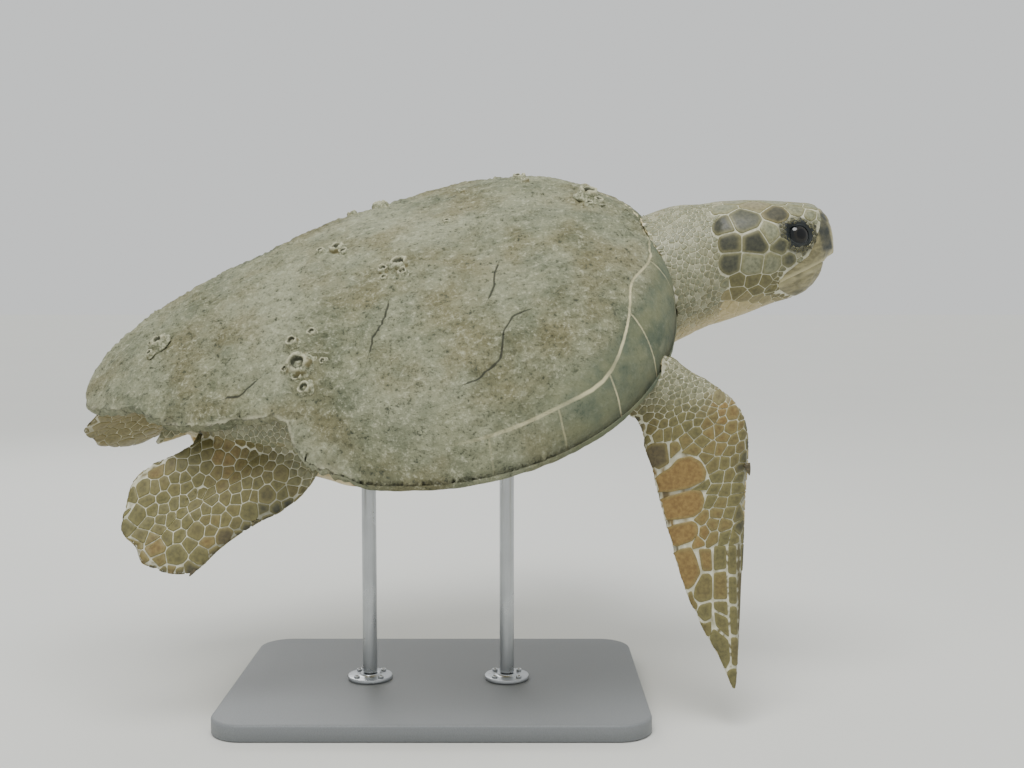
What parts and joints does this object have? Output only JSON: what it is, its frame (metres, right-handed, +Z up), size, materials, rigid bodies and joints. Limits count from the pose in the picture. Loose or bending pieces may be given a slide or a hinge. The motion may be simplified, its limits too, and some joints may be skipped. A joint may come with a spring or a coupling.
{
  "type": "loggerhead sea turtle",
  "caption": "Life-size loggerhead sea turtle museum model, swimming in a bank with one front flipper down, on a plain two-rod display stand.",
  "frame": {"origin": "middle of the underside of the stand's base, on the floor", "axes": "+X towards the turtle's head, -Y towards its right flank, which is the side the model is banked to, +Z up"},
  "size_m": [1.1577, 0.9608, 0.8045],
  "materials": {
    "carapace": "weathered horn with algae and grit, dull",
    "plastron": "smooth pale horn, satin",
    "skin": "scaly skin, brown scales with pale seams, satin",
    "horn": "horn beak, satin",
    "eye": "dark and wet-looking, gloss",
    "claw": "dark horn, satin",
    "barnacle": "chalky and rough",
    "stand_plate": "satin grey",
    "stand_steel": "brushed",
    "stand_pad": "matt"
  },
  "bodies": {
    "root": {"carapace": "carapace", "plastron": "plastron", "trunk": "skin", "neck": "skin", "head": "skin", "tail": "skin", "beak_upper": "horn", "beak_lower": "horn", "eye_right": "eye", "eye_left": "eye", "front_flipper_right": "skin", "front_flipper_left": "skin", "hind_flipper_right": "skin", "hind_flipper_left": "skin", "front_claw_right": "claw", "front_claw_left": "claw", "hind_claw_right": "claw", "hind_claw_left": "claw", "barnacle_crown": "barnacle", "barnacle_keel": "barnacle", "barnacle_flank": "barnacle", "barnacle_rear": "barnacle", "barnacle_shoulder": "barnacle", "barnacle_far": "barnacle", "stand_base": "stand_plate", "stand_flange_front": "stand_steel", "stand_rod_front": "stand_steel", "stand_pad_front": "stand_pad", "stand_flange_rear": "stand_steel", "stand_rod_rear": "stand_steel", "stand_pad_rear": "stand_pad"}
  },
  "joints": []
}
